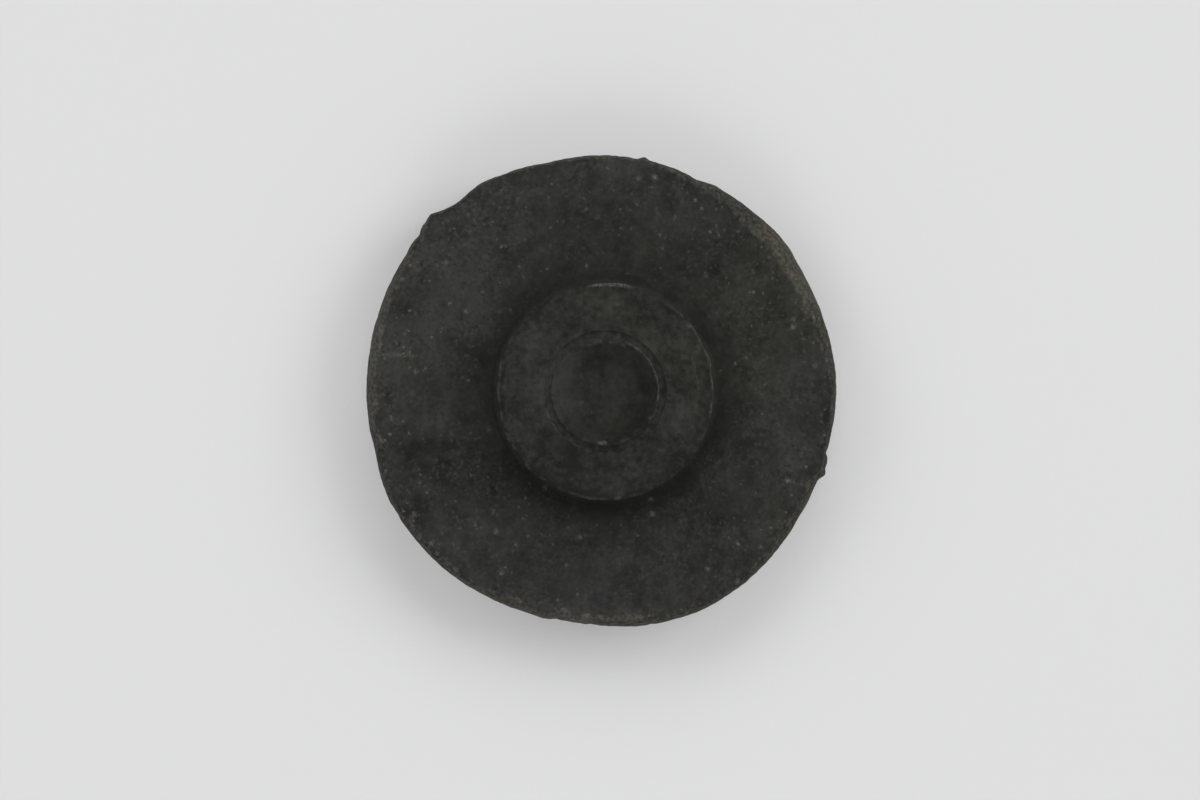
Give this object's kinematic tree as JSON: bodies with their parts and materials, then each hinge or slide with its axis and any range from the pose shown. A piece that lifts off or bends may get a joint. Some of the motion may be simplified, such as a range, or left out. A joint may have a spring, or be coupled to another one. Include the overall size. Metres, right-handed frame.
{
  "type": "button bumper",
  "caption": "Round black rubber bumper: a wide thin flange, trimmed by hand at the rim, with a short central boss that has a shallow blind recess in its end.",
  "frame": {"origin": "where the boss's axis meets the flange's resting face", "axes": "+Z along the boss's axis, from the resting face up through the boss; +X and +Y lie in the resting face"},
  "size_m": [0.0112, 0.0112, 0.003],
  "materials": {
    "rubber": "matt black moulded rubber, slightly mottled, with pale dust and a granular cut rim"
  },
  "bodies": {
    "root": {"rubber_bumper": "rubber"}
  },
  "joints": []
}
